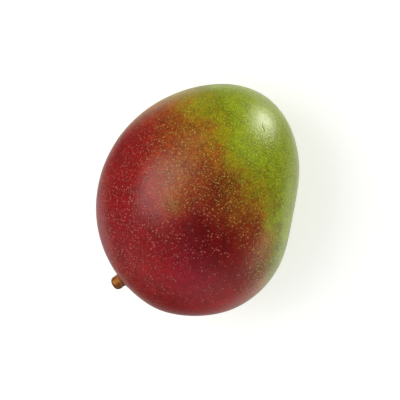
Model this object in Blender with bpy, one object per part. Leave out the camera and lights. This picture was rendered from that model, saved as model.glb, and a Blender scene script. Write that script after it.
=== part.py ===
"""A mango lying on its broad cheek, with the stub of its stalk still on.

The fruit is one solid. The stub is another, and its root stands in a socket in the fruit.
+X runs from the stalk end to the apex, +Y to the back and +Z up. The origin is on the flat
spot that the fruit rests on, straight below the fruit's middle.
"""
import math
from typing import NamedTuple

import bmesh
import bpy
import numpy as np
from mathutils import Matrix, Vector


class Swell(NamedTuple):
    """A broad rise of the skin, or a hollow where its height is negative."""

    azimuth: float      # degrees from +X towards +Y
    elevation: float    # degrees above and below the fruit's waist
    height: float       # mm
    spread: float       # degrees from its middle to where it has fallen to about 0.6


MM = 0.001

# The body before its swells, in mm
HALF_LENGTH = 53.4
HALF_WIDTH = 48.3
HALF_THICKNESS = 43.0
REST_HEIGHT = 43.3      # from the fruit's middle down to the flat spot
MEAN_RADIUS = 50.0
FULLNESS = 2.4          # power of the section through the cheeks: 2 is an ellipse, more is fuller

# What makes the body a mango, all in its median plane but the beak and the cheeks
SWELLS = [
    Swell(azimuth=230.4, elevation=0, height=5.9, spread=28.2),     # belly, below the stalk
    Swell(azimuth=283.1, elevation=0, height=-2.9, spread=13),      # sinus, the flat before the beak
    Swell(azimuth=347.4, elevation=15, height=3.9, spread=26.1),    # beak, broad and blunt at the apex
    Swell(azimuth=184.7, elevation=0, height=2.3, spread=13.1),     # shoulder on the belly side
    Swell(azimuth=160, elevation=0, height=0.95, spread=10),        # seat of the stalk
    Swell(azimuth=180, elevation=50, height=1.2, spread=30),        # the two cheeks, wider at the stalk end
]
CELLS = 28              # faces along each edge of the cube that the skin is wrapped from

# Stalk stub, in mm
STEM_AZIMUTH = 159.5
ROOT_RADIUS = 2.4
ROOT_DEPTH = 4.2
COLLAR_RADIUS = 5.0
COLLAR_DEPTH = 0.55     # the collar's underside, below the skin
COLLAR_RIM = 0.2        # the collar's edge, above the skin at the stalk's axis
WAIST_RADIUS = 3.4
WAIST_HEIGHT = 2.3
KNOB_RADIUS = 3.5
KNOB_HEIGHT = 3.7
STEM_HEIGHT = 6.3
CLEARANCE = 0.3         # between the stub and its socket
LOBES = 5
LOBE_DEPTH = 0.22
LOBE_PHASE = 0.6        # radians
STEM_SIDES = 30
SOCKET_SIDES = 36
SOCKET_TOP = 4.0        # how far the cutter stands out of the skin

SKIN_COLOUR = (0.29, 0.045, 0.022, 1)
STEM_COLOUR = (0.24, 0.11, 0.03, 1)


def clear_scene():
    """Remove whatever objects the scene starts with."""
    for old in list(bpy.data.objects):
        bpy.data.objects.remove(old, do_unlink=True)


def material(name, colour, roughness):
    """Return a Principled material of one colour."""
    made = bpy.data.materials.new(name)
    made.use_nodes = True
    shader = made.node_tree.nodes["Principled BSDF"]
    shader.inputs["Base Color"].default_value = colour
    shader.inputs["Roughness"].default_value = roughness
    shader.inputs["Metallic"].default_value = 0.0
    return made


def add_object(name, mesh):
    """Link a new object and return it."""
    made = bpy.data.objects.new(name, mesh)
    bpy.context.scene.collection.objects.link(made)
    return made


def finish_mesh(name, bm, smooth_angle=60):
    """Turn a bmesh into a smooth mesh whose faces point out."""
    bmesh.ops.recalc_face_normals(bm, faces=bm.faces)
    mesh = bpy.data.meshes.new(name)
    bm.to_mesh(mesh)
    bm.free()
    mesh.shade_smooth()
    mesh.set_sharp_from_angle(angle=math.radians(smooth_angle))
    return mesh


def direction(azimuth, elevation=0.0):
    """Return the unit vector of an azimuth and elevation in degrees."""
    turn, rise = math.radians(azimuth), math.radians(elevation)
    return np.array([math.cos(rise) * math.cos(turn), math.cos(rise) * math.sin(turn), math.sin(rise)])


def skin_points(directions):
    """Return where the skin lies along unit directions from the fruit's middle, in mm."""
    flat = np.hypot(directions[:, 0], directions[:, 1])
    reach = (flat**FULLNESS + np.abs(directions[:, 2])**FULLNESS) ** (-1 / FULLNESS)
    for swell in SWELLS:
        for side in (1, -1) if swell.elevation else (1,):
            nearness = directions @ direction(swell.azimuth, side * swell.elevation) - 1
            spread = math.radians(swell.spread)
            reach = reach + swell.height / MEAN_RADIUS * np.exp(nearness / spread**2)
    half_sizes = np.array([HALF_LENGTH, HALF_WIDTH, HALF_THICKNESS])
    return reach[:, None] * directions * half_sizes


def stem_frame():
    """Return the matrix that takes the stub's own frame, +Z along its axis, to the skin."""
    step = 1.0
    before, seat, after = skin_points(np.array([direction(STEM_AZIMUTH + turn) for turn in (-step, 0, step)]))
    along = Vector(after - before).normalized()
    outward = along.cross(Vector((0, 0, 1)))
    turned = Matrix((along.cross(outward), along, outward)).transposed().to_4x4()
    place = (Vector(seat) + Vector((0, 0, REST_HEIGHT))) * MM
    return Matrix.Translation(place) @ turned


def add_fruit():
    """Make the fruit: a gridded cube wrapped onto the skin and pressed flat underneath."""
    bm = bmesh.new()
    bmesh.ops.create_cube(bm, size=2)
    bmesh.ops.subdivide_edges(bm, edges=bm.edges, cuts=CELLS - 1, use_grid_fill=True)
    cube = np.array([vert.co for vert in bm.verts])
    even = np.tan(cube * math.pi / 4)
    skin = skin_points(even / np.linalg.norm(even, axis=1)[:, None])
    skin[:, 2] = np.maximum(skin[:, 2], -REST_HEIGHT) + REST_HEIGHT
    for vert, point in zip(bm.verts, skin):
        vert.co = point * MM
    fruit = add_object("fruit", finish_mesh("fruit", bm))
    fruit.data.materials.append(material("mango skin", SKIN_COLOUR, 0.35))
    return fruit


def turned_solid(name, profile, sides, radius_at=None):
    """Turn a profile of (radius, height) in mm about Z, closed at both ends.

    radius_at(radius, height, angle) may change the radius round the turn.
    """
    bm = bmesh.new()
    rings = []
    for radius, height in profile:
        ring = []
        for side in range(sides):
            angle = 2 * math.pi * side / sides
            reach = radius_at(radius, height, angle) if radius_at else radius
            ring.append(bm.verts.new(Vector((reach * math.cos(angle), reach * math.sin(angle), height)) * MM))
        rings.append(ring)
    for lower, upper in zip(rings, rings[1:]):
        for side in range(sides):
            after = (side + 1) % sides
            bm.faces.new((lower[side], lower[after], upper[after], upper[side]))
    for ring, height in ((rings[0], profile[0][1]), (rings[-1], profile[-1][1])):
        middle = bm.verts.new((0, 0, height * MM))
        for side in range(sides):
            bm.faces.new((ring[side], ring[(side + 1) % sides], middle))
    return finish_mesh(name, bm)


def stem_profile():
    """Return the stub's profile from the foot of its root to its worn tip, in mm."""
    profile = [(ROOT_RADIUS * 0.75, -ROOT_DEPTH), (ROOT_RADIUS, -ROOT_DEPTH + 0.6), (ROOT_RADIUS, -COLLAR_DEPTH)]
    profile += [(COLLAR_RADIUS - 0.2, -COLLAR_DEPTH), (COLLAR_RADIUS, -COLLAR_DEPTH + 0.25)]
    flare_steps = 5
    for step in range(flare_steps + 1):
        turn = step / flare_steps * math.pi / 2
        radius = COLLAR_RADIUS - (COLLAR_RADIUS - WAIST_RADIUS) * math.sin(turn)
        profile.append((radius, COLLAR_RIM + (WAIST_HEIGHT - COLLAR_RIM) * (1 - math.cos(turn))))
    swell_steps = 3
    for step in range(1, swell_steps + 1):
        share = (1 - math.cos(step / swell_steps * math.pi)) / 2
        height = WAIST_HEIGHT + (KNOB_HEIGHT - WAIST_HEIGHT) * step / swell_steps
        profile.append((WAIST_RADIUS + (KNOB_RADIUS - WAIST_RADIUS) * share, height))
    dome_steps = 7
    for step in range(1, dome_steps):
        turn = step / dome_steps * math.pi / 2
        profile.append((KNOB_RADIUS * math.cos(turn), KNOB_HEIGHT + (STEM_HEIGHT - KNOB_HEIGHT) * math.sin(turn)))
    return profile


def lobed(radius, height, angle):
    """Return the stub's radius with its lobes, which fade out at the collar and the tip."""
    if height <= COLLAR_RIM:
        return radius
    rise = (height - COLLAR_RIM) / (STEM_HEIGHT - COLLAR_RIM)
    twist = LOBE_PHASE + 0.5 * rise
    return radius + LOBE_DEPTH * math.sin(math.pi * rise) * math.cos(LOBES * angle + twist)


def socket_profile():
    """Return the profile of the cutter: the root's hole and the collar's seat."""
    hole = ROOT_RADIUS + CLEARANCE
    seat = COLLAR_RADIUS + CLEARANCE
    floor = -COLLAR_DEPTH - CLEARANCE
    return [(hole, -ROOT_DEPTH - CLEARANCE), (hole, floor), (seat, floor), (seat, SOCKET_TOP)]


def add_stem():
    """Make the stub of the stalk and stand it on the skin."""
    stem = add_object("stem", turned_solid("stem", stem_profile(), STEM_SIDES, lobed))
    stem.matrix_world = stem_frame()
    stem.data.materials.append(material("dry stalk", STEM_COLOUR, 0.75))
    return stem


def cut_socket(fruit):
    """Cut the stub's socket out of the fruit."""
    cutter = add_object("socket cutter", turned_solid("socket cutter", socket_profile(), SOCKET_SIDES))
    cutter.matrix_world = stem_frame()
    cutter.hide_render = True
    cutter.display_type = "WIRE"
    cut = fruit.modifiers.new("stalk socket", "BOOLEAN")
    cut.operation = "DIFFERENCE"
    cut.object = cutter
    cut.solver = "EXACT"


def main():
    """Build the mango."""
    clear_scene()
    fruit = add_fruit()
    add_stem()
    cut_socket(fruit)


main()
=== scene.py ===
"""The looks of a red and green mango that lies on its cheek, with the stub of its stalk on."""
from __future__ import annotations

import logging
import math
from dataclasses import dataclass, field

import bmesh
import bpy
import numpy as np
from mathutils import Matrix, Vector, noise


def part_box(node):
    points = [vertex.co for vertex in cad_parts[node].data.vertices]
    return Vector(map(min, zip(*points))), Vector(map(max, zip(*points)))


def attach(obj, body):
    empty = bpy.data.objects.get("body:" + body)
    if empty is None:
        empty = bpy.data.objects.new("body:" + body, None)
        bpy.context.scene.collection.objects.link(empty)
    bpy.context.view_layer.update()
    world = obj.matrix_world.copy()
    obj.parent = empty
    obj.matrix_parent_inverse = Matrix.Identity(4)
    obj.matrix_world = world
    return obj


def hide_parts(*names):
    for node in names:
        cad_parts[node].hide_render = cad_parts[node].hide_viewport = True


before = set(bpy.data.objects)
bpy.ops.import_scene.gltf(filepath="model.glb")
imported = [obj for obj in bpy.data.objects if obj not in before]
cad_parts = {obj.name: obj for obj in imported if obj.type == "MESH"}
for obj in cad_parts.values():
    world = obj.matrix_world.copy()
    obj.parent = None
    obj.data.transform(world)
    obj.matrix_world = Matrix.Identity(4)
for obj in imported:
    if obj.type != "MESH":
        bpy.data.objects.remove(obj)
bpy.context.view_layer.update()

LOG = logging.getLogger("mango")
MM = 0.001


def linear(hex_colour: str) -> tuple[float, float, float, float]:
    """Turn an sRGB hex colour into linear red, green, blue and alpha.

    Args:
        hex_colour: A colour such as "#7A1018".

    Returns:
        The colour as a shader socket takes it.
    """
    shares = [int(hex_colour[start:start + 2], 16) / 255 for start in (1, 3, 5)]
    lit = [share / 12.92 if share <= 0.04045 else ((share + 0.055) / 1.055) ** 2.4 for share in shares]
    return (*lit, 1.0)


def direction(azimuth: float, elevation: float = 0.0) -> Vector:
    """Return a unit vector.

    Args:
        azimuth: Degrees from +X towards +Y.
        elevation: Degrees above the level plane.

    Returns:
        The unit vector.
    """
    turn, rise = math.radians(azimuth), math.radians(elevation)
    return Vector((math.cos(rise) * math.cos(turn), math.cos(rise) * math.sin(turn), math.sin(rise)))


def add_node(tree: bpy.types.NodeTree, kind: str, inputs: dict | None = None,
             **settings: object) -> bpy.types.Node:
    """Add a shader node with its settings, values and links.

    Args:
        tree: The material's or the world's node tree.
        kind: The node's type name.
        inputs: Input name or index to a value, or to the output socket that feeds it.
        settings: The node's own properties. For a colour ramp, stops is a tuple of (place, hex colour).

    Returns:
        The new node.
    """
    node = tree.nodes.new(kind)
    for place, (stop, colour) in enumerate(settings.pop("stops", ())):
        elements = node.color_ramp.elements
        element = elements[place] if place < len(elements) else elements.new(stop)
        element.position = stop
        element.color = linear(colour)
    for name, value in settings.items():
        setattr(node, name, value)
    for socket, value in (inputs or {}).items():
        if isinstance(value, bpy.types.NodeSocket):
            tree.links.new(value, node.inputs[socket])
        else:
            node.inputs[socket].default_value = value
    return node


def new_material(name: str) -> tuple[bpy.types.Material, bpy.types.NodeTree, bpy.types.Node]:
    """Make an empty Principled material.

    Args:
        name: The material's name.

    Returns:
        The material, its node tree and its Principled shader.
    """
    material = bpy.data.materials.new(name)
    material.use_nodes = True
    tree = material.node_tree
    return material, tree, tree.nodes["Principled BSDF"]


@dataclass(frozen=True)
class Patch:
    """A soft round patch on a sphere of directions.

    The azimuth and elevation of its middle are in degrees, and so is the spread, from there to
    where the patch has fallen to about 0.6. The amount is its value in the middle.
    """

    azimuth: float
    elevation: float
    spread: float
    amount: float

    def add(self, tree: bpy.types.NodeTree, ray: bpy.types.NodeSocket,
            below: bpy.types.NodeSocket | float = 0.0) -> bpy.types.NodeSocket:
        """Add the patch's nodes.

        Args:
            tree: The node tree.
            ray: The output that gives a unit direction.
            below: What the patch is added to.

        Returns:
            The output that gives the sum.
        """
        tight = math.radians(self.spread) ** -2
        facing = add_node(tree, "ShaderNodeVectorMath", {0: ray, 1: direction(self.azimuth, self.elevation)},
                          operation="DOT_PRODUCT")
        fall = add_node(tree, "ShaderNodeMath", {0: facing.outputs["Value"], 1: tight, 2: -tight},
                        operation="MULTIPLY_ADD")
        rise = add_node(tree, "ShaderNodeMath", {0: fall.outputs[0]}, operation="EXPONENT")
        return add_node(tree, "ShaderNodeMath", {0: rise.outputs[0], 1: self.amount, 2: below},
                        operation="MULTIPLY_ADD").outputs[0]


@dataclass(frozen=True)
class Mottle:
    """An even mottle over the whole surface.

    The size is in mm, the reach is from its darkest to its palest, and the detail is how many
    finer mottles lie in it.
    """

    size: float
    reach: float
    detail: float = 1.0

    def add(self, tree: bpy.types.NodeTree, place: bpy.types.NodeSocket,
            below: bpy.types.NodeSocket | float) -> bpy.types.NodeSocket:
        """Add the mottle's nodes.

        Args:
            tree: The material's node tree.
            place: The output that gives the place in metres.
            below: What the mottle is added to.

        Returns:
            The output that gives the sum.
        """
        grain = add_node(tree, "ShaderNodeTexNoise", {"Vector": place, "Scale": 1 / (self.size * MM),
                                                      "Detail": self.detail})
        level = add_node(tree, "ShaderNodeMath", {0: grain.outputs["Fac"], 1: -0.5}, operation="ADD")
        return add_node(tree, "ShaderNodeMath", {0: level.outputs[0], 1: self.reach, 2: below},
                        operation="MULTIPLY_ADD").outputs[0]


@dataclass(frozen=True)
class Swell:
    """A broad rise of the skin, or a hollow where its height is negative.

    The azimuth and elevation are in degrees, the height in mm, and the spread in degrees.
    """

    azimuth: float
    elevation: float
    height: float
    spread: float


@dataclass(frozen=True)
class FruitForm:
    """The fruit's form, in mm from its middle, by the sizes that its solid is built to."""

    half_length: float = 53.4
    half_width: float = 48.3
    half_thickness: float = 43.0
    rest_height: float = 43.3
    mean_radius: float = 50.0
    fullness: float = 2.4
    stem_azimuth: float = 159.5
    swells: tuple[Swell, ...] = (
        Swell(230.4, 0, 5.9, 28.2),
        Swell(283.1, 0, -2.9, 13),
        Swell(347.4, 15, 3.9, 26.1),
        Swell(184.7, 0, 2.3, 13.1),
        Swell(160, 0, 0.95, 10),
        Swell(180, 50, 1.2, 30),
    )

    def middle(self) -> Vector:
        """Return the fruit's middle in the row frame, in metres."""
        return Vector((0, 0, self.rest_height * MM))

    def points(self, directions: np.ndarray) -> np.ndarray:
        """Return where the skin lies along unit directions from the middle.

        Args:
            directions: Unit vectors, one a row.

        Returns:
            Points in mm from the middle, one a row.
        """
        flat = np.hypot(directions[:, 0], directions[:, 1])
        reach = (flat**self.fullness + np.abs(directions[:, 2])**self.fullness) ** (-1 / self.fullness)
        for swell in self.swells:
            spread = math.radians(swell.spread)
            for side in (1, -1) if swell.elevation else (1,):
                facing = directions @ np.array(direction(swell.azimuth, side * swell.elevation)) - 1
                reach = reach + swell.height / self.mean_radius * np.exp(facing / spread**2)
        return reach[:, None] * directions * (self.half_length, self.half_width, self.half_thickness)

    def seat(self, azimuth: float, elevation: float, turn: float = 1.0) -> tuple[Vector, Vector]:
        """Return a place on the skin and the way that it faces.

        Args:
            azimuth: Degrees from +X towards +Y.
            elevation: Degrees above the fruit's waist.
            turn: Degrees between the places that the facing is taken from.

        Returns:
            The place in mm from the fruit's middle, and its unit normal.
        """
        steps = ((0, 0), (turn, 0), (-turn, 0), (0, turn), (0, -turn))
        rays = np.array([direction(azimuth + side, elevation + up) for side, up in steps])
        here, east, west, north, south = (Vector(point) for point in self.points(rays))
        return here, (east - west).cross(north - south).normalized()

    def stem_frame(self) -> Matrix:
        """Return the matrix from the stub's own frame, +Z out along its axis, to the row frame."""
        seat, outward = self.seat(self.stem_azimuth, 0.0)
        down = outward.cross(outward.cross(Vector((0, 0, 1))))
        turned = Matrix((down, outward.cross(down), outward)).transposed().to_4x4()
        return Matrix.Translation(seat * MM + self.middle()) @ turned


def add_piece(name: str, bm: bmesh.types.BMesh, material: bpy.types.Material) -> bpy.types.Object:
    """Turn a bmesh in the row frame into a smooth piece that rides on the fruit.

    Args:
        name: The piece's name.
        bm: Its closed surface, in metres. It is used up.
        material: Its material.

    Returns:
        The new object.
    """
    bmesh.ops.recalc_face_normals(bm, faces=bm.faces)
    mesh = bpy.data.meshes.new(name)
    bm.to_mesh(mesh)
    bm.free()
    mesh.shade_smooth()
    mesh.materials.append(material)
    piece = bpy.data.objects.new(name, mesh)
    bpy.context.scene.collection.objects.link(piece)
    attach(piece, "root")
    LOG.info("%s: %d faces", name, len(mesh.polygons))
    return piece


@dataclass(frozen=True)
class WaxySkin:
    """Ripe mango rind under its own wax.

    A satin gloss lies over deep colour that runs from leaf green through olive, ochre and brick to
    crimson. Pale open pores stand in it, each in a slightly darker ring. The closed pores between
    them are finer than the picture can show, so they are drawn coarser, fleck_spacing apart.

    Spacings, sizes and heights are in mm. An edge is where a dot's rim lies and where the dot is
    full, as shares of the spacing. A fall is where it starts and ends on the blush, and then the
    amounts there.
    """

    roughness: float = 0.3
    gloss_mottle: Mottle = Mottle(5, 0.12, 2)
    relief_mottle: Mottle = Mottle(1.5, 1.5)
    relief_height: float = 0.035
    ior: float = 1.45
    blush_start: float = 0.083
    blush_slope: float = 0.452
    blush_toward: tuple[float, float] = (158, 50)
    blush_patches: tuple[Patch, ...] = (
        Patch(295, 62, 13, -0.12),
        Patch(264, 29, 23, -0.35),
        Patch(222, 46, 27, 0.57),
        Patch(65, 67, 13, -0.18),
        Patch(71, 37, 15, 0.29),
        Patch(109, 81, 7, -0.29),
        Patch(340, 39, 8, -0.21),
        Patch(102, 44, 26, 0.27),
        Patch(280, 43, 9, 0.25),
        Patch(105, 63, 19, -0.02),
        Patch(37, 33, 10, 0.08),
        Patch(31, 11, 12, 0.14),
        Patch(282, 40, 5, -0.19),
        Patch(138, 47, 12, 0.08),
    )
    blush_mottles: tuple[Mottle, ...] = (Mottle(15, 0.2), Mottle(4.5, 0.18, 2), Mottle(1.2, 0.14))
    shade_patches: tuple[Patch, ...] = (
        Patch(249, 77, 22, -0.68),
        Patch(328, 64, 7, -0.39),
        Patch(335, 28, 7, -0.18),
        # Partly painted highlight and partly paler skin: this patch brightens the rind round the key light's
        # highlight
        Patch(114, 71, 36, 0.63),
        Patch(216, 27, 12, 0.5),
        Patch(252, 29, 9, -0.46),
        Patch(177, 47, 8, 0.42),
        Patch(298, 56, 14, -0.07),
        Patch(28, 45, 14, -0.32),
    )
    shade_mottles: tuple[Mottle, ...] = (Mottle(6, 0.7, 2), Mottle(1.0, 0.7))
    rind: tuple[tuple[float, str], ...] = (
        (0.0, "#98A900"), (0.05, "#8A9000"), (0.13, "#A19600"), (0.25, "#AC6400"), (0.36, "#9A3D00"),
        (0.5, "#952100"), (0.65, "#880000"), (0.8, "#7D0000"), (1.0, "#880F1F"),
    )
    pores: tuple[tuple[float, str], ...] = (
        (0.0, "#C4D028"), (0.13, "#D0BC20"), (0.3, "#D09A3C"), (0.5, "#C87A46"), (0.8, "#CC6054"),
        (1.0, "#CC5C60"),
    )
    wander_size: float = 1.3
    wander_reach: float = 1.6
    pore_spacing: float = 1.15
    pore_edge: tuple[float, float] = (0.4, 0.2)
    pore_cover: float = 0.9
    pore_least: float = 0.4
    pore_spread: float = 0.8
    crowd_fall: tuple[float, float, float, float] = (0.3, 0.8, 0.95, 0.5)
    crowd_mottle: Mottle = Mottle(7, 1.2)
    pore_crowds: tuple[Patch, ...] = (
        Patch(130, 54, 25, 0.45),
        Patch(10, 42, 25, 0.15),
        Patch(222, 36, 20, -0.3),
        Patch(290, 70, 14, -0.2),
    )
    ring_edge: tuple[float, float] = (0.65, 0.38)
    ring_depth: float = 0.42
    fleck_spacing: float = 1.1
    fleck_edge: tuple[float, float] = (0.42, 0.15)
    fleck_fall: tuple[float, float, float, float] = (0.05, 0.65, 0.6, 0.08)

    def blush(self, tree: bpy.types.NodeTree, place: bpy.types.NodeSocket,
              ray: bpy.types.NodeSocket) -> bpy.types.NodeSocket:
        """Add the blush: 0 on the green side and 1 on the side that the sun has turned crimson.

        Args:
            tree: The material's node tree.
            place: The output that gives the place in metres.
            ray: The output that gives the direction from the fruit's middle.

        Returns:
            The output that gives the blush.
        """
        axis = direction(*self.blush_toward) * self.blush_slope
        facing = add_node(tree, "ShaderNodeVectorMath", {0: ray, 1: axis}, operation="DOT_PRODUCT")
        total = add_node(tree, "ShaderNodeMath", {0: facing.outputs["Value"], 1: self.blush_start},
                         operation="ADD").outputs[0]
        for patch in self.blush_patches:
            total = patch.add(tree, ray, total)
        for mottle in self.blush_mottles:
            total = mottle.add(tree, place, total)
        return total

    def pore_field(self, tree: bpy.types.NodeTree, place: bpy.types.NodeSocket, ray: bpy.types.NodeSocket,
                   blush: bpy.types.NodeSocket) -> tuple[bpy.types.NodeSocket, bpy.types.NodeSocket]:
        """Add the pores: open ones under 1 mm wide and 1 to 2 mm apart, and closed ones between.

        They crowd together and run into a fine net on the green, and thin out in the crimson.

        Args:
            tree: The material's node tree.
            place: The output that gives the place in metres.
            ray: The output that gives the direction from the fruit's middle.
            blush: The output that gives the blush.

        Returns:
            The outputs that give how pale the skin is, and how far it lies in an open pore's dark ring.
        """
        # Both kinds of pore are drawn in cells that are bent, so that they stand in no grid
        wander = add_node(tree, "ShaderNodeTexNoise", {"Vector": place, "Scale": 1 / (self.wander_size * MM),
                                                       "Detail": 1.0})
        even = add_node(tree, "ShaderNodeVectorMath", {0: wander.outputs["Color"], 1: (0.5, 0.5, 0.5)},
                        operation="SUBTRACT")
        reach = (self.wander_reach * MM,) * 3
        bent = add_node(tree, "ShaderNodeVectorMath", {0: even.outputs[0], 1: reach, 2: place},
                        operation="MULTIPLY_ADD").outputs[0]
        cells = add_node(tree, "ShaderNodeTexVoronoi", {"Vector": bent,
                                                        "Scale": 1 / (self.pore_spacing * MM)})
        away = cells.outputs["Distance"]
        chance = add_node(tree, "ShaderNodeSeparateColor", {0: cells.outputs["Color"]})

        # Which cells hold an open pore, and how strong it is
        start, end, at_start, at_end = self.crowd_fall
        crowd = add_node(tree, "ShaderNodeMapRange", {0: blush, 1: start, 2: end, 3: at_start,
                                                      4: at_end}).outputs[0]
        for patch in self.pore_crowds:
            crowd = patch.add(tree, ray, crowd)
        crowd = self.crowd_mottle.add(tree, place, crowd)
        is_open = add_node(tree, "ShaderNodeMath", {0: chance.outputs[0], 1: crowd}, operation="LESS_THAN")
        strength = add_node(tree, "ShaderNodeMath", {0: chance.outputs[1], 1: self.pore_spread,
                                                     2: self.pore_least}, operation="MULTIPLY_ADD")
        here = add_node(tree, "ShaderNodeMath", {0: is_open.outputs[0], 1: strength.outputs[0]},
                        operation="MULTIPLY").outputs[0]
        rim, full = self.pore_edge
        dot = add_node(tree, "ShaderNodeMapRange", {0: away, 1: rim, 2: full, 4: self.pore_cover})
        pore = add_node(tree, "ShaderNodeMath", {0: dot.outputs[0], 1: here}, operation="MULTIPLY")
        rim, full = self.ring_edge
        near = add_node(tree, "ShaderNodeMapRange", {0: away, 1: rim, 2: full})
        ring = add_node(tree, "ShaderNodeMath", {0: near.outputs[0], 1: here}, operation="MULTIPLY")

        # The closed pores, which are clear on the green and nearly lost in the crimson
        flecks = add_node(tree, "ShaderNodeTexVoronoi", {"Vector": bent,
                                                         "Scale": 1 / (self.fleck_spacing * MM)})
        start, end, at_start, at_end = self.fleck_fall
        faint = add_node(tree, "ShaderNodeMapRange", {0: blush, 1: start, 2: end, 3: at_start, 4: at_end})
        rim, full = self.fleck_edge
        fleck = add_node(tree, "ShaderNodeMapRange", {0: flecks.outputs["Distance"], 1: rim, 2: full,
                                                      4: faint.outputs[0]})
        pale = add_node(tree, "ShaderNodeMath", {0: pore.outputs[0], 1: fleck.outputs[0]},
                        operation="MAXIMUM")
        return pale.outputs[0], ring.outputs[0]

    def material(self, form: FruitForm) -> bpy.types.Material:
        """Build the skin's material.

        Args:
            form: The fruit's form, for its middle.

        Returns:
            The material.
        """
        material, tree, shader = new_material("ripe_mango_rind_waxy")
        place = add_node(tree, "ShaderNodeTexCoord").outputs["Object"]
        out = add_node(tree, "ShaderNodeVectorMath", {0: place, 1: form.middle()}, operation="SUBTRACT")
        ray = add_node(tree, "ShaderNodeVectorMath", {0: out.outputs[0]}, operation="NORMALIZE").outputs[0]
        blush = self.blush(tree, place, ray)
        pale, ring = self.pore_field(tree, place, ray, blush)

        shade = 1.0
        for patch in self.shade_patches:
            shade = patch.add(tree, ray, shade)
        grain = 1.0
        for mottle in self.shade_mottles:
            grain = mottle.add(tree, place, grain)
        grain = add_node(tree, "ShaderNodeMath", {0: ring, 1: -self.ring_depth, 2: grain},
                         operation="MULTIPLY_ADD")
        shade = add_node(tree, "ShaderNodeMath", {0: shade, 1: grain.outputs[0]}, operation="MULTIPLY")
        rind = add_node(tree, "ShaderNodeValToRGB", {0: blush}, stops=self.rind).outputs[0]
        deep = add_node(tree, "ShaderNodeVectorMath", {0: rind, "Scale": shade.outputs[0]}, operation="SCALE")
        open_skin = add_node(tree, "ShaderNodeValToRGB", {0: blush}, stops=self.pores).outputs[0]
        colour = add_node(tree, "ShaderNodeMix", {0: pale, 6: deep.outputs[0], 7: open_skin},
                          data_type="RGBA")
        tree.links.new(colour.outputs[2], shader.inputs["Base Color"])

        relief = self.relief_mottle.add(tree, place, pale)
        bump = add_node(tree, "ShaderNodeBump", {"Height": relief, "Strength": 1.0,
                                                 "Distance": self.relief_height * MM})
        tree.links.new(bump.outputs[0], shader.inputs["Normal"])
        rough = self.gloss_mottle.add(tree, place, self.roughness)
        tree.links.new(rough, shader.inputs["Roughness"])
        shader.inputs["IOR"].default_value = self.ior
        return material


@dataclass(frozen=True)
class DryStalk:
    """Dried fruit stalk, broken off and rubbed smooth.

    Worn ochre bark has a low sheen. Painted shade darkens it in the creases and on the knob's flanks.
    The knob's shades are patches of directions from the knob's middle: three paint shade on its
    flanks, and one makes it paler near its end. Sizes and heights are in mm.
    """

    roughness: float = 0.5
    grain_size: float = 1.2
    grain_detail: float = 3.0
    grain_reach: float = 0.6
    relief_strength: float = 0.5
    relief_height: float = 0.12
    bark:tuple[tuple[float, str], ...] = (
        (0.0, "#D69030"), (0.25, "#BE7608"), (0.5, "#965000"), (0.75, "#6A2E00"), (1.0, "#3A1A04"),
    )
    # Painted shade on the knob's flanks, and one paler patch near its end
    knob_shades: tuple[Patch, ...] = (
        Patch(-98, 30, 24, 0.6),
        Patch(106, 52, 18, 0.35),
        Patch(-141, 38, 18, 0.3),
        Patch(10, 76, 20, -0.25),
    )

    def material(self, knob: Vector) -> bpy.types.Material:
        """Build the stub's material.

        Args:
            knob: The middle of the knob at the stub's end, in the row frame.

        Returns:
            The material.
        """
        material, tree, shader = new_material("dried_stalk_bark")
        place = add_node(tree, "ShaderNodeTexCoord").outputs["Object"]
        out = add_node(tree, "ShaderNodeVectorMath", {0: place, 1: knob}, operation="SUBTRACT")
        ray = add_node(tree, "ShaderNodeVectorMath", {0: out.outputs[0]}, operation="NORMALIZE").outputs[0]
        tone = add_node(tree, "ShaderNodeAttribute", attribute_name="crease").outputs["Fac"]
        # The crease value carries painted shade in the creases, and these patches paint shade on the knob's
        # flanks
        for knob_shade in self.knob_shades:
            tone = knob_shade.add(tree, ray, tone)
        grain = add_node(tree, "ShaderNodeTexNoise", {"Vector": place, "Scale": 1 / (self.grain_size * MM),
                                                      "Detail": self.grain_detail})
        mixed = add_node(tree, "ShaderNodeMath", {0: grain.outputs["Fac"], 1: self.grain_reach,
                                                  2: -self.grain_reach / 2}, operation="MULTIPLY_ADD")
        tone = add_node(tree, "ShaderNodeMath", {0: mixed.outputs[0], 1: tone}, operation="ADD").outputs[0]
        colour = add_node(tree, "ShaderNodeValToRGB", {0: tone}, stops=self.bark)
        tree.links.new(colour.outputs[0], shader.inputs["Base Color"])
        bump = add_node(tree, "ShaderNodeBump", {"Height": grain.outputs["Fac"],
                                                 "Strength": self.relief_strength,
                                                 "Distance": self.relief_height * MM})
        tree.links.new(bump.outputs[0], shader.inputs["Normal"])
        shader.inputs["Roughness"].default_value = self.roughness
        return material


@dataclass(frozen=True)
class Cork:
    """Healed skin: thin cork without wax, so it looks dull beside the glossy rind.

    The grain's size is in mm. Shades are the darkest and palest share of the colour, which the
    grain reaches at its two levels.
    """

    name: str
    colour: str
    roughness: float = 0.7
    grain_size: float = 0.6
    grain_levels: tuple[float, float] = (0.3, 0.7)
    shades: tuple[float, float] = (0.75, 1.2)

    def material(self) -> bpy.types.Material:
        """Build the cork's material."""
        material, tree, shader = new_material(self.name)
        place = add_node(tree, "ShaderNodeTexCoord").outputs["Object"]
        grain = add_node(tree, "ShaderNodeTexNoise", {"Vector": place, "Scale": 1 / (self.grain_size * MM),
                                                      "Detail": 2.0})
        low, high = self.grain_levels
        darkest, palest = self.shades
        shade = add_node(tree, "ShaderNodeMapRange", {0: grain.outputs["Fac"], 1: low, 2: high, 3: darkest,
                                                      4: palest}).outputs[0]
        colour = add_node(tree, "ShaderNodeVectorMath", {0: linear(self.colour)[:3], "Scale": shade},
                          operation="SCALE")
        tree.links.new(colour.outputs[0], shader.inputs["Base Color"])
        shader.inputs["Roughness"].default_value = self.roughness
        return material


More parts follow.
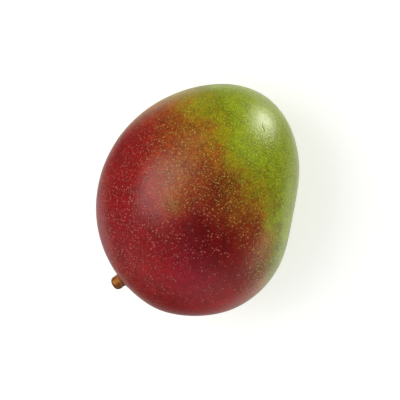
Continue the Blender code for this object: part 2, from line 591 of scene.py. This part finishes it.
@dataclass(frozen=True)
class Fruit:
    """The whole fruit's skin, as one fine closed surface. Lengths in mm.

    The inset keeps all of it just inside the flat faces of its solid. The lip and the pit stand
    round the stalk.
    """

    form: FruitForm
    finish: WaxySkin
    cells: int = 112
    inset: float = 0.06
    lump_height: float = 0.08
    lump_size: float = 11.0
    lip_height: float = 0.3
    lip_radius: float = 6.5
    lip_width: float = 1.4
    seat_depth: float = 0.35

    def relief(self, skin: np.ndarray) -> np.ndarray:
        """Return how far the skin stands out from the plain form, by place.

        Args:
            skin: Points in mm from the fruit's middle, one a row.

        Returns:
            Heights in mm, one a point.
        """
        # The lumps are cut into the form, so they never stand above it
        lumps = np.array([noise.noise(Vector(point) / self.lump_size) for point in skin])
        hollows = self.lump_height * (np.clip(lumps, -1, 1) - 1) / 2

        # How far each point is from the stalk's axis, with the far side put out of the lip's reach
        seat, outward = self.form.seat(self.form.stem_azimuth, 0.0)
        spoke = skin - np.array(seat)
        spoke -= (spoke @ np.array(outward))[:, None] * np.array(outward)
        out_of_reach = 100
        away = np.linalg.norm(spoke, axis=1) + np.where(skin @ np.array(outward) > 0, 0, out_of_reach)
        lip = self.lip_height * np.exp(-((away - self.lip_radius) / self.lip_width)**2)
        pit = self.seat_depth * np.exp(-(away / (self.lip_radius - self.lip_width))**6)
        return hollows + lip - pit - self.inset

    def build(self) -> bpy.types.Object:
        """Build the skin and put it in the place of the plain fruit.

        Returns:
            The skin piece.
        """
        bm = bmesh.new()
        bmesh.ops.create_cube(bm, size=2)
        bmesh.ops.subdivide_edges(bm, edges=bm.edges, cuts=self.cells - 1, use_grid_fill=True)
        cube = np.array([vert.co for vert in bm.verts])
        even = np.tan(cube * math.pi / 4)
        skin = self.form.points(even / np.linalg.norm(even, axis=1)[:, None])
        skin += self.relief(skin)[:, None] * skin / np.linalg.norm(skin, axis=1)[:, None]
        skin[:, 2] = np.maximum(skin[:, 2], -self.form.rest_height) + self.form.rest_height
        for vert, point in zip(bm.verts, skin):
            vert.co = point * MM
        piece = add_piece("mango_skin", bm, self.finish.material(self.form))
        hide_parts("fruit")
        return piece


@dataclass(frozen=True)
class StalkStub:
    """The stub that is left of the stalk: a flared collar, a lobed knob and a worn end.

    Lengths are in mm, and turns in radians. The steps are how finely each part of the profile is
    cut. A shade is how much painted shade a form puts on the bark where the form is deep. A stain
    is how much darker the bark is at the foot and at the ends, and the plain one is what the bark
    has everywhere. The foot is the lowest share of the height.
    """

    form: FruitForm
    finish: DryStalk
    collar_radius: float = 5.0
    collar_depth: float = 0.55
    collar_bevel: tuple[float, float] = (0.2, 0.25)
    collar_rim: float = 0.2
    waist_radius: float = 3.4
    waist_height: float = 2.3
    knob_radius: float = 3.5
    knob_height: float = 3.7
    height: float = 6.3
    lobes: int = 5
    lobe_depth: float = 0.22
    lobe_phase: float = 0.6
    lobe_twist: float = 0.5
    fibres: int = 17
    fibre_depth: float = 0.09
    fibre_wander: float = 0.25
    dent_depth: float = 0.3
    dent_size: float = 1.7
    wear: float = 0.05
    foot: float = 0.18
    plain_stain: float = 0.25
    # The lobe, fibre and dent shades are painted shade in the creases
    lobe_shade: float = 0.9
    fibre_shade: float = 3.0
    dent_shade: float = 1.8
    foot_stain: float = 0.5
    end_stain: float = 0.6
    sides: int = 120
    flare_steps: int = 18
    swell_steps: int = 8
    dome_steps: int = 30

    def profile(self) -> list[tuple[float, float]]:
        """Return the stub's profile as (radius, height), from the collar's underside to the end."""
        inward, upward = self.collar_bevel
        line = [(self.collar_radius - inward, -self.collar_depth),
                (self.collar_radius, -self.collar_depth + upward)]
        for step in range(self.flare_steps + 1):
            turn = step / self.flare_steps * math.pi / 2
            line.append((self.collar_radius - (self.collar_radius - self.waist_radius) * math.sin(turn),
                         self.collar_rim + (self.waist_height - self.collar_rim) * (1 - math.cos(turn))))
        for step in range(1, self.swell_steps + 1):
            share = (1 - math.cos(step / self.swell_steps * math.pi)) / 2
            rise = (self.knob_height - self.waist_height) * step / self.swell_steps
            line.append((self.waist_radius + (self.knob_radius - self.waist_radius) * share,
                         self.waist_height + rise))
        for step in range(1, self.dome_steps):
            turn = step / self.dome_steps * math.pi / 2
            line.append((self.knob_radius * math.cos(turn),
                         self.knob_height + (self.height - self.knob_height) * math.sin(turn)))
        return line

    def shape(self, radius: float, height: float, angle: float) -> tuple[Vector, float]:
        """Return a point of the stub's surface and how deep in a crease it lies.

        Args:
            radius: The profile's radius there.
            height: The profile's height there.
            angle: The turn round the axis, in radians.

        Returns:
            The point in the stub's frame, in mm, and a crease value from 0 to 1.
        """
        rise = max(0.0, (height - self.collar_rim) / (self.height - self.collar_rim))
        fade = math.sin(math.pi * min(rise, 1.0))
        twist = self.lobe_phase + self.lobe_twist * rise
        lobe = self.lobe_depth * fade * math.cos(self.lobes * angle + twist)
        around = Vector((math.cos(angle), math.sin(angle), 0.0))
        bent = angle + self.fibre_wander * noise.noise(Vector((0, 0, height * 0.8)) + around)
        fibre = -self.fibre_depth * (1 - abs(math.cos(self.fibres * bent / 2))) ** 2 * min(1.0, 4 * rise)
        spot = around * radius + Vector((0, 0, height))
        hollow = max(0.0, noise.noise(spot / self.dent_size + Vector((3.1, 0.4, 7.7))))
        dent = -self.dent_depth * hollow * min(1.0, 5 * rise)
        outward = Vector((around.x, around.y, 0.0)).lerp(Vector((0, 0, 1)), max(0.0, rise - 0.5) * 1.6)
        point = spot + around * lobe + outward * (fibre + dent - self.wear)

        # Painted shade darkens the bark between the lobes and fibres and in the dents, and dry scurf darkens
        # its foot
        foot = max(0.0, 1 - rise / self.foot)
        crease = (self.plain_stain - self.lobe_shade * lobe - self.fibre_shade * fibre
                  - self.dent_shade * dent + self.foot_stain * foot)
        return point, min(1.0, max(0.0, crease))

    def build(self) -> bpy.types.Object:
        """Build the stub and put it in the place of the plain one.

        Returns:
            The stub piece.
        """
        place = self.form.stem_frame()
        bm = bmesh.new()
        creases = bm.verts.layers.float.new("crease")
        rings = []
        for radius, height in self.profile():
            ring = []
            for side in range(self.sides):
                point, crease = self.shape(radius, height, 2 * math.pi * side / self.sides)
                vert = bm.verts.new(place @ (point * MM))
                vert[creases] = crease
                ring.append(vert)
            rings.append(ring)
        for lower, upper in zip(rings, rings[1:]):
            for side in range(self.sides):
                after = (side + 1) % self.sides
                bm.faces.new((lower[side], lower[after], upper[after], upper[side]))
        for ring in (rings[0], rings[-1]):
            heart = bm.verts.new(sum((vert.co for vert in ring), Vector()) / self.sides)
            heart[creases] = self.end_stain
            for side in range(self.sides):
                bm.faces.new((ring[side], ring[(side + 1) % self.sides], heart))
        knob = place @ Vector((0, 0, self.knob_height * MM))
        piece = add_piece("stalk_stub", bm, self.finish.material(knob))
        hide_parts("stem")
        return piece


@dataclass(frozen=True)
class SkinMark:
    """A thin raised bead of cork on the skin.

    Its path is in azimuth and elevation from the fruit's middle, and its lengths are in mm. Ragged
    is the least share of its width and how much more there may be, which changes ragged_rate times
    a mm. A small taper keeps it wide almost to its ends.
    """

    name: str
    form: FruitForm
    finish: Cork
    path: tuple[tuple[float, float], ...]
    width: float = 0.42
    rise: float = 0.05
    sunk: float = 0.15
    ragged: tuple[float, float] = (0.75, 0.5)
    ragged_rate: float = 1.7
    taper: float = 0.6
    steps: int = 10
    sides: int = 8

    def build(self) -> bpy.types.Object:
        """Build the mark.

        Returns:
            The mark's piece.
        """
        spots = []
        for (start_turn, start_up), (end_turn, end_up) in zip(self.path, self.path[1:]):
            for step in range(self.steps):
                share = step / self.steps
                spots.append((start_turn + (end_turn - start_turn) * share,
                              start_up + (end_up - start_up) * share))
        spots.append(self.path[-1])
        seats = [self.form.seat(turn, up) for turn, up in spots]
        least, more = self.ragged
        bm = bmesh.new()
        rings = []
        for index, (seat, outward) in enumerate(seats):
            before, after = seats[max(0, index - 2)][0], seats[min(len(seats) - 1, index + 2)][0]
            across = (after - before).cross(outward).normalized()
            share = (index + 0.5) / len(seats)
            ragged = least + more * abs(noise.noise(seat * self.ragged_rate))
            size = math.sin(math.pi * share) ** self.taper * ragged
            ring = []
            for side in range(self.sides):
                turn = 2 * math.pi * side / self.sides
                lift = math.sin(turn) * (self.rise if math.sin(turn) > 0 else self.sunk) * size
                point = seat + across * (math.cos(turn) * self.width / 2 * size) + outward * lift
                ring.append(bm.verts.new(point * MM + self.form.middle()))
            rings.append(ring)
        for lower, upper in zip(rings, rings[1:]):
            for side in range(self.sides):
                after = (side + 1) % self.sides
                bm.faces.new((lower[side], lower[after], upper[after], upper[side]))
        bm.faces.new(rings[0])
        bm.faces.new(rings[-1])
        return add_piece(self.name, bm, self.finish.material())


@dataclass(frozen=True)
class Mango:
    """The whole mango: its skin, the stub of its stalk, and the marks that it grew with."""

    form: FruitForm = field(default_factory=FruitForm)

    def marks(self) -> tuple[SkinMark, ...]:
        """Return the scar of the flower at the apex, and two scars where twigs rubbed."""
        olive = Cork("healed_flower_scar", "#76803C", 0.5)
        brown = Cork("healed_rub_scar", "#94483A")
        return (
            SkinMark("flower_scar", self.form, olive,
                     ((341.3, 31.4), (340.6, 33.0), (339.6, 33.8), (338.4, 34.6), (336.6, 35.0))),
            SkinMark("rub_scar_short", self.form, brown, ((245.7, 60.1), (246.6, 58.1), (246.8, 56.1))),
            SkinMark("rub_scar_curved", self.form, brown,
                     ((257.0, 47.3), (257.8, 44.4), (258.0, 42.0), (259.8, 41.1))),
        )

    def build(self) -> None:
        """Build every piece."""
        Fruit(self.form, WaxySkin()).build()
        StalkStub(self.form, DryStalk()).build()
        for mark in self.marks():
            mark.build()


@dataclass(frozen=True)
class SoftLight:
    """A studio panel that faces the fruit.

    Angles are in degrees and lengths in metres. Radiance is how bright its face looks, where
    white paper in the picture is 1.
    """

    name: str
    azimuth: float
    elevation: float
    distance: float
    width: float
    height: float
    radiance: float

    def build(self, middle: Vector) -> bpy.types.Object:
        """Hang the panel.

        Args:
            middle: The point that it faces.

        Returns:
            The light.
        """
        data = bpy.data.lights.new(self.name, "AREA")
        data.shape = "RECTANGLE"
        data.size = self.width
        data.size_y = self.height
        data.energy = self.radiance * math.pi * self.width * self.height
        lamp = bpy.data.objects.new(self.name, data)
        bpy.context.scene.collection.objects.link(lamp)
        out = direction(self.azimuth, self.elevation)
        lamp.location = middle + out * self.distance
        lamp.rotation_mode = "QUATERNION"
        lamp.rotation_quaternion = out.to_track_quat("Z", "Y")
        lamp.visible_camera = False
        return lamp


@dataclass(frozen=True)
class LitAcrylic:
    """A white acrylic sheet with a blasted face, lit a little from below.

    It keeps the ground white, without gloss, and fills in the shadow. The glow is its radiance,
    where white paper in the picture is 1.
    """

    colour: str = "#F2F2F2"
    roughness: float = 0.9
    glow: float = 0.47

    def material(self) -> bpy.types.Material:
        """Build the sheet's material."""
        material, _, shader = new_material("white_acrylic_satin")
        shader.inputs["Base Color"].default_value = linear(self.colour)
        shader.inputs["Roughness"].default_value = self.roughness
        shader.inputs["Specular IOR Level"].default_value = 0.0
        shader.inputs["Emission Color"].default_value = linear("#FFFFFF")
        shader.inputs["Emission Strength"].default_value = self.glow
        return material


@dataclass(frozen=True)
class Studio:
    """A white table under soft light, and the camera above it.

    The camera looks down at tilt degrees from the vertical, over the fruit's azimuth lean, and
    the fruit's +X shows at roll degrees above the picture's right. frame_width is what the
    picture spans at the fruit's middle, in metres, and aside is how far the fruit's middle
    stands right of and above the picture's middle there. The glows are the bright parts of the
    room that the gloss shows, with the radiance of white paper as 1.
    """

    tilt: float = 8.0
    lean: float = -20.0
    roll: float = 66.0
    distance: float = 0.545
    frame_width: float = 0.19708
    aside: tuple[float, float] = (-0.00139, 0.00072)
    sensor: float = 0.036
    room_light: float = 0.54
    room_gloss: float = 0.01
    table_radius: float = 2.5
    table_finish: LitAcrylic = LitAcrylic()
    glows: tuple[Patch, ...] = (
        Patch(-22, 2, 7, 16.0),
        Patch(-24, -14, 6, 20.0),
        Patch(-14, -15, 7, 2.0),
        Patch(-21, -31, 8, 2.2),
        Patch(-27, 31, 8, 1.4),
        Patch(-4, -52, 10, 0.8),
        Patch(-62, -67, 17, 0.66),
        Patch(-78, -30, 10, 1.4),
        Patch(-100, 2, 10, 1.86),
        Patch(-114, -40, 17, 1.02),
        Patch(-139, 12, 18, 0.68),
        Patch(157, 16, 19, 0.55),
        Patch(130, -74, 17, 0.8),
        Patch(129, -31, 11, 0.73),
        Patch(82, 7, 18, 0.19),
        Patch(61, -42, 8, 0.65),
        Patch(36, -59, 12, 0.53),
        Patch(43, 47, 7, 1.13),
    )
    lights: tuple[SoftLight, ...] = (
        SoftLight("key_softbox", 95, 58.5, 0.9, 0.53, 0.54, 2.75),
    )

    def floor(self) -> bpy.types.Object:
        """Lay the table top, which the fruit's gloss doesn't show: it shows the room's glows instead."""
        bpy.ops.mesh.primitive_circle_add(vertices=96, radius=self.table_radius, fill_type="NGON")
        table = bpy.context.object
        table.name = "table_top"
        table.data.materials.append(self.table_finish.material())
        table.visible_glossy = False
        return table

    def surroundings(self) -> None:
        """Make the room's light: soft and even, dim in gloss, and white to the camera."""
        world = bpy.data.worlds.new("studio_room")
        world.use_nodes = True
        bpy.context.scene.world = world
        tree = world.node_tree
        tree.nodes.clear()
        white = linear("#FFFFFF")
        even = add_node(tree, "ShaderNodeBackground", {"Strength": self.room_light, "Color": white})
        ray = add_node(tree, "ShaderNodeTexCoord").outputs["Generated"]
        glossy = self.room_gloss
        for glow in self.glows:
            glossy = glow.add(tree, ray, glossy)
        dim = add_node(tree, "ShaderNodeBackground", {"Strength": glossy, "Color": white})
        seen = add_node(tree, "ShaderNodeBackground", {"Strength": 1.0, "Color": linear("#F4F4F4")})

        # Each kind of ray meets a room of its own: even light, glows in the dark, or a plain backdrop
        path = add_node(tree, "ShaderNodeLightPath")
        in_gloss = add_node(tree, "ShaderNodeMixShader", {0: path.outputs["Is Glossy Ray"],
                                                          1: even.outputs[0], 2: dim.outputs[0]})
        all_rays = add_node(tree, "ShaderNodeMixShader", {0: path.outputs["Is Camera Ray"],
                                                          1: in_gloss.outputs[0], 2: seen.outputs[0]})
        add_node(tree, "ShaderNodeOutputWorld", {"Surface": all_rays.outputs[0]})

    def camera(self, middle: Vector) -> bpy.types.Object:
        """Set up the camera.

        Args:
            middle: The fruit's middle.

        Returns:
            The camera.
        """
        toward = direction(self.lean, 90 - self.tilt)
        level = (Vector((1, 0, 0)) - toward * toward.x).normalized()
        right = Matrix.Rotation(math.radians(-self.roll), 3, toward) @ level
        above = toward.cross(right)
        data = bpy.data.cameras.new("photo_camera")
        data.sensor_width = self.sensor / MM
        data.lens = self.sensor / MM * self.distance / self.frame_width
        data.clip_start = 0.01
        camera = bpy.data.objects.new("photo_camera", data)
        bpy.context.scene.collection.objects.link(camera)
        place = middle + toward * self.distance - right * self.aside[0] - above * self.aside[1]
        camera.matrix_world = Matrix.Translation(place) @ Matrix((right, above, toward)).transposed().to_4x4()
        bpy.context.scene.camera = camera
        return camera

    def build(self, middle: Vector) -> None:
        """Set up the table, the light and the camera.

        Args:
            middle: The fruit's middle.
        """
        self.floor()
        self.surroundings()
        for light in self.lights:
            light.build(middle)
        self.camera(middle)
        bpy.context.scene.view_settings.view_transform = "Standard"


def check_form(form: FruitForm, samples: int = 20000) -> None:
    """Report how far the form lies from the solid that it dresses.

    Args:
        form: The fruit's form.
        samples: How many directions it is measured in.
    """
    _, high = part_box("fruit")
    spread = np.random.default_rng(1).normal(size=(samples, 3))
    skin = form.points(spread / np.linalg.norm(spread, axis=1)[:, None])
    reach = skin.max(axis=0) * MM + np.array(form.middle())
    LOG.info("form and solid differ at the top corner by %s mm", np.round((np.array(high) - reach) / MM, 2))


def main() -> None:
    """Build the mango and the studio round it."""
    logging.basicConfig(level=logging.INFO, format="%(name)s: %(message)s")
    mango = Mango()
    check_form(mango.form)
    Studio().build(mango.form.middle())
    mango.build()


if __name__ == "__main__":
    main()
